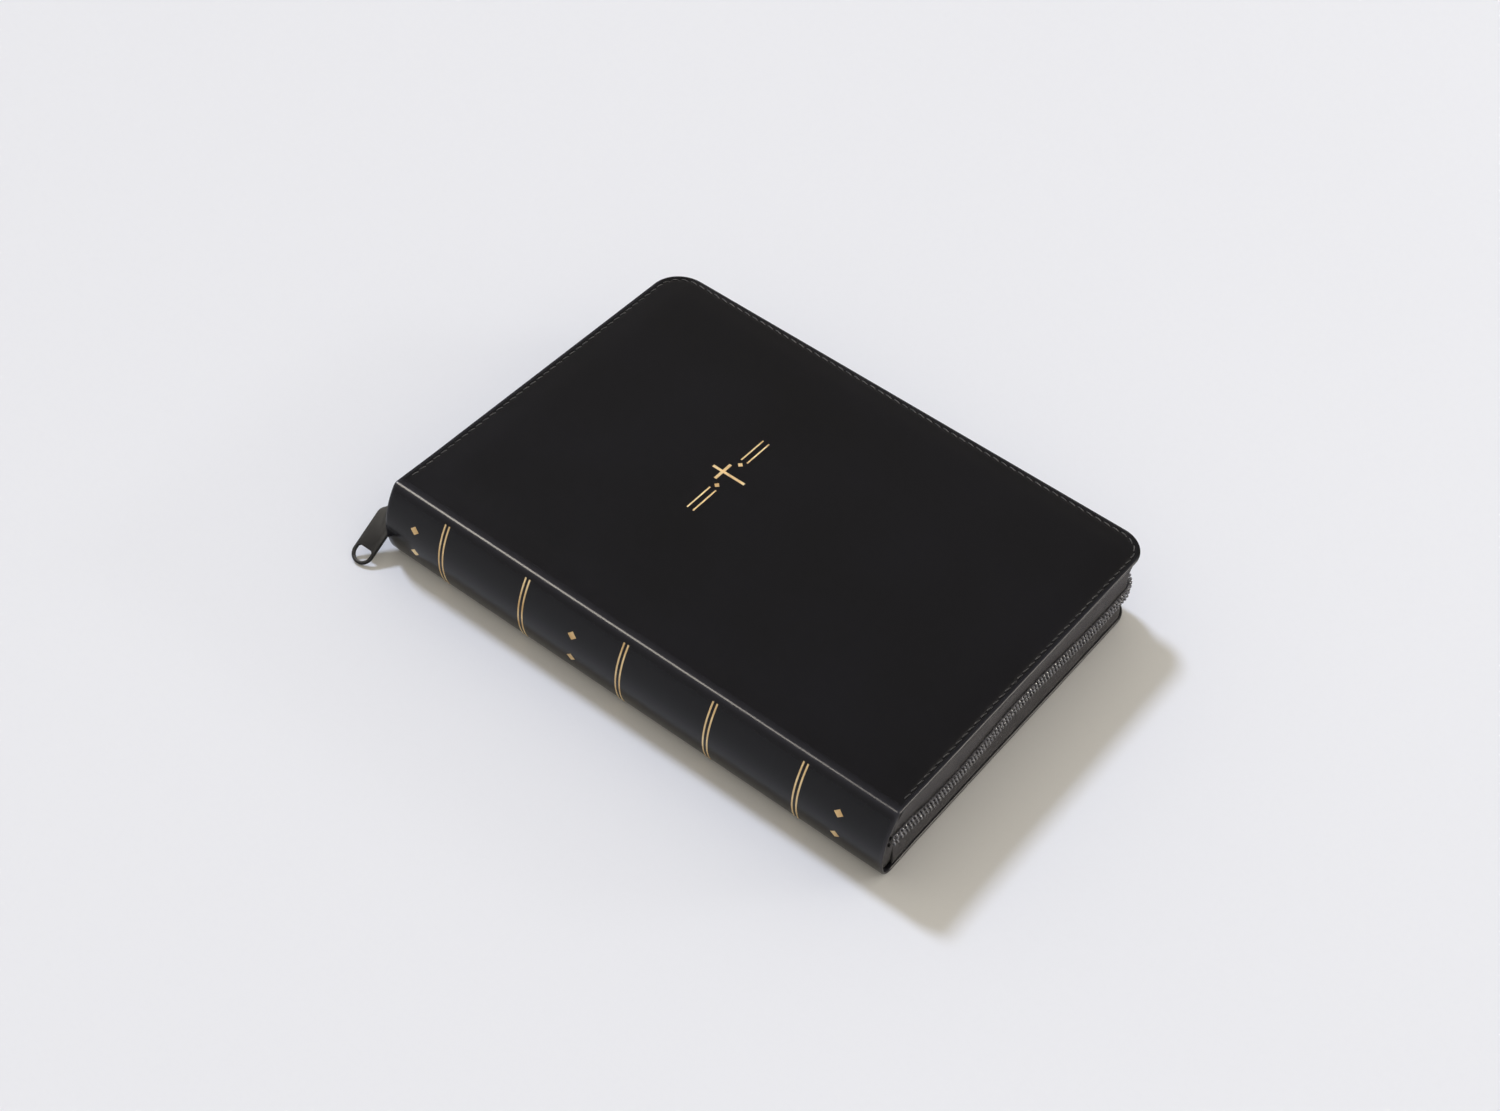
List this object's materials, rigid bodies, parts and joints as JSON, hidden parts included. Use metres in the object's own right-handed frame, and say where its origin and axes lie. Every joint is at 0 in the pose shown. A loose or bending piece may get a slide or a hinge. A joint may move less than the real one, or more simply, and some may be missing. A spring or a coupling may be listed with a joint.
{
  "type": "zip-around bible",
  "caption": "Padded leatherette Bible with rounded fore corners, gold-ruled rounded spine and a coil zip round three edges, closed and lying on its back cover.",
  "frame": {"origin": "centre of the back cover's outer face, half way between spine crest and fore edge and between head and tail", "axes": "+X from spine to fore edge, +Y from tail to head, +Z from back cover to front cover"},
  "size_m": [0.1711, 0.2245, 0.034],
  "materials": {
    "leatherette": "smooth, semi-gloss, padded",
    "padding": "soft open foam",
    "board": "dense grey board",
    "lining": "smooth black lining paper",
    "gold_foil": "satin stamped foil",
    "thread": "twisted polyester thread",
    "zip_tape": "fine woven tape",
    "zip_coil": "nylon monofilament coil",
    "zip_metal": "satin black enamel",
    "mull_cloth": "open gauze",
    "headband": "woven silk",
    "pages": "thin printed leaves, plain cut edges",
    "flyleaf": "uncoated sheet"
  },
  "bodies": {
    "back_cover": {"back_leather": "leatherette", "back_foam": "padding", "back_board": "board", "back_lining": "lining", "back_stitching": "thread", "lower_zip_tape": "zip_tape", "lower_zip_row": "zip_coil", "lower_zip_stop": "zip_metal"},
    "rear_block": {"rear_pages": "pages", "rear_flyleaf": "flyleaf", "lower_spine_leather": "leatherette", "lower_spine_liner": "board", "lower_spine_foil": "gold_foil", "lower_mull": "mull_cloth", "lower_headbands": "headband", "lower_tape_ends": "zip_tape", "lower_tail_stop": "zip_metal"},
    "front_block": {"front_pages": "pages", "front_flyleaf": "flyleaf", "upper_spine_leather": "leatherette", "upper_spine_liner": "board", "upper_spine_foil": "gold_foil", "upper_mull": "mull_cloth", "upper_headbands": "headband", "upper_tape_ends": "zip_tape", "upper_tail_stop": "zip_metal"},
    "front_cover": {"front_leather": "leatherette", "front_foam": "padding", "front_board": "board", "front_lining": "lining", "front_foil": "gold_foil", "front_stitching": "thread", "upper_zip_tape": "zip_tape", "upper_zip_row": "zip_coil", "upper_zip_stop": "zip_metal"},
    "zip_slider": {"slider_body": "zip_metal", "slider_bail": "zip_metal"},
    "ring": {"pull_ring": "zip_metal"},
    "zip_puller": {"puller": "zip_metal"}
  },
  "joints": [
    {"name": "rear_block_hinge", "type": "hinge", "parent": "back_cover", "child": "rear_block", "pos_m": [-0.078, 0, 0], "axis": [0, -1, 0], "range_deg": [0, 180]},
    {"name": "front_block_hinge", "type": "hinge", "parent": "rear_block", "child": "front_block", "pos_m": [-0.083, 0, 0.017], "axis": [0, -1, 0], "range_deg": [0, 180]},
    {"name": "front_cover_hinge", "type": "hinge", "parent": "front_block", "child": "front_cover", "pos_m": [-0.078, 0, 0.034], "axis": [0, -1, 0], "range_deg": [0, 180]},
    {"name": "slider_slide", "type": "slide", "parent": "back_cover", "child": "zip_slider", "axis": [1, 0, 0], "range_m": [0, 0.1205]},
    {"name": "ring_swing", "type": "hinge", "parent": "zip_slider", "child": "ring", "pos_m": [-0.067, 0.1126, 0.016], "axis": [0, 0, -1], "range_deg": [0, 90]},
    {"name": "puller_swing", "type": "hinge", "parent": "ring", "child": "zip_puller", "pos_m": [-0.07, 0.1126, 0.016], "axis": [0, -1, 0], "range_deg": [-110, 55]}
  ]
}
